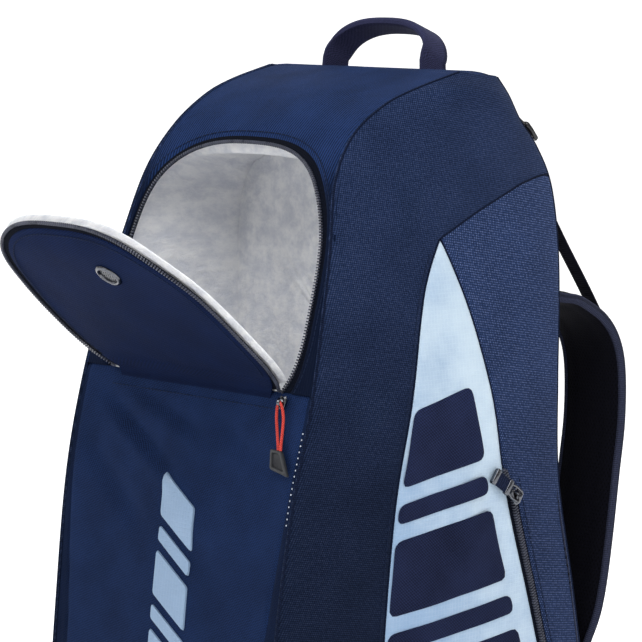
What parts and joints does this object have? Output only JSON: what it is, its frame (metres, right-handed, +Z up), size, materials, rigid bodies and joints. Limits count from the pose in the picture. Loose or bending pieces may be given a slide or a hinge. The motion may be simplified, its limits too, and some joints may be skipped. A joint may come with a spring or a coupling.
{
  "type": "racket backpack",
  "caption": "Tall soft backpack for rackets, with a front shoe compartment whose arched flap folds open, side zips, a top-back lid, a grab handle and padded shoulder straps.",
  "frame": {"origin": "centre of the flat underside", "axes": "+Z up along the bag's length, -Y the front with the shoe flap, +Y the wearer's back with the straps, +X the bag's right side as seen from the front"},
  "size_m": [0.3272, 0.5004, 0.7895],
  "materials": {
    "navy_fabric": "woven polyester with a fine rib",
    "accent_fabric": "satin ripstop",
    "lining_fabric": "smooth lining cloth",
    "padded_mesh": "spacer mesh over foam",
    "navy_webbing": "ribbed webbing",
    "zip_tape": "woven zip tape",
    "zip_coil": "moulded zip coil",
    "dark_metal": "black nickel, polished",
    "black_rubber": "moulded rubber, satin",
    "black_plastic": "moulded acetal",
    "red_cord": "braided cord",
    "board": "sheet plastic"
  },
  "bodies": {
    "root": {"base_panel": "navy_fabric", "front_panel": "navy_fabric", "front_collar": "navy_fabric", "ridge_panel": "navy_fabric", "back_panel": "padded_mesh", "back_collar": "navy_fabric", "back_board": "board", "divider_board": "navy_fabric", "shoe_lining": "lining_fabric", "collar_zip": "zip_coil", "lid_zip": "zip_coil", "side_upper_right": "navy_fabric", "side_accent_right": "accent_fabric", "side_rear_right": "navy_fabric", "side_tape_right": "zip_tape", "side_teeth_right": "zip_coil", "handle_anchor_right": "navy_webbing", "strap_root_right": "padded_mesh", "lifter_anchor_right": "navy_webbing", "strap_anchor_right": "navy_webbing", "side_upper_left": "navy_fabric", "side_accent_left": "accent_fabric", "side_rear_left": "navy_fabric", "side_tape_left": "zip_tape", "side_teeth_left": "zip_coil", "handle_anchor_left": "navy_webbing", "strap_root_left": "padded_mesh", "lifter_anchor_left": "navy_webbing", "strap_anchor_left": "navy_webbing"},
    "flap": {"flap_outer": "navy_fabric", "flap_lining": "lining_fabric", "flap_zip": "zip_coil", "vent_eyelet": "dark_metal", "vent_mesh": "dark_metal"},
    "shoe_slider": {"shoe_slider": "dark_metal"},
    "shoe_pull": {"shoe_pull_cord": "red_cord", "shoe_pull_tip": "black_rubber"},
    "lid": {"lid": "navy_fabric"},
    "lid_slider": {"lid_slider": "dark_metal"},
    "lid_pull": {"lid_pull": "black_rubber"},
    "handle": {"handle": "navy_webbing"},
    "side_slider_right": {"side_slider_right": "dark_metal"},
    "side_pull_right": {"side_pull_link_right": "dark_metal", "side_pull_tab_right": "navy_webbing"},
    "strap_right": {"strap_pad_right": "padded_mesh", "load_lifter_right": "navy_webbing", "ladder_lock_right": "black_plastic", "strap_webbing_right": "navy_webbing"},
    "side_slider_left": {"side_slider_left": "dark_metal"},
    "side_pull_left": {"side_pull_link_left": "dark_metal", "side_pull_tab_left": "navy_webbing"},
    "strap_left": {"strap_pad_left": "padded_mesh", "load_lifter_left": "navy_webbing", "ladder_lock_left": "black_plastic", "strap_webbing_left": "navy_webbing"}
  },
  "joints": [
    {"name": "flap_fold", "type": "hinge", "parent": "root", "child": "flap", "pos_m": [0, -0.13623, 0.51101], "axis": [1, 0, 0], "range_deg": [-64, 40]},
    {"name": "shoe_zip_run", "type": "slide", "parent": "root", "child": "shoe_slider", "axis": [0.0644, 0.2581, 0.964], "range_m": [0, 0.09]},
    {"name": "shoe_pull_swing", "type": "hinge", "parent": "shoe_slider", "child": "shoe_pull", "pos_m": [0.1075, -0.14424, 0.50477], "axis": [1, 0, 0], "range_deg": [-100, 0]},
    {"name": "lid_fold", "type": "hinge", "parent": "root", "child": "lid", "pos_m": [0, 0.13827, 0.66495], "axis": [1, 0, 0], "range_deg": [-110, 0]},
    {"name": "lid_zip_run", "type": "slide", "parent": "root", "child": "lid_slider", "axis": [0, 0.6462, -0.7632], "range_m": [0, 0.036]},
    {"name": "lid_pull_swing", "type": "hinge", "parent": "lid_slider", "child": "lid_pull", "pos_m": [0.0933, 0.11495, 0.71194], "axis": [1, 0, 0], "range_deg": [0, 120]},
    {"name": "handle_tilt", "type": "hinge", "parent": "root", "child": "handle", "pos_m": [0, 0.062, 0.748], "axis": [1, 0, 0], "range_deg": [-18, 62], "stiffness_Nm_per_rad": 0.15},
    {"name": "side_zip_run_right", "type": "slide", "parent": "root", "child": "side_slider_right", "axis": [-0.043, 0.2758, -0.9602], "range_m": [0, 0.2]},
    {"name": "side_pull_swing_right", "type": "hinge", "parent": "side_slider_right", "child": "side_pull_right", "pos_m": [0.16163, 0.05688, 0.41677], "axis": [0, 0.9611, 0.2761], "range_deg": [0, 170]},
    {"name": "strap_swing_right", "type": "hinge", "parent": "root", "child": "strap_right", "pos_m": [0.088, 0.176, 0.136], "axis": [0, -0.0577, 0.9983], "range_deg": [-12, 12], "stiffness_Nm_per_rad": 0.3},
    {"name": "side_zip_run_left", "type": "slide", "parent": "root", "child": "side_slider_left", "axis": [0.043, 0.2758, -0.9602], "range_m": [0, 0.2]},
    {"name": "side_pull_swing_left", "type": "hinge", "parent": "side_slider_left", "child": "side_pull_left", "pos_m": [-0.16163, 0.05688, 0.41677], "axis": [0, 0.9611, 0.2761], "range_deg": [-170, 0]},
    {"name": "strap_swing_left", "type": "hinge", "parent": "root", "child": "strap_left", "pos_m": [-0.088, 0.176, 0.136], "axis": [0, -0.0577, 0.9983], "range_deg": [-12, 12], "stiffness_Nm_per_rad": 0.3}
  ]
}
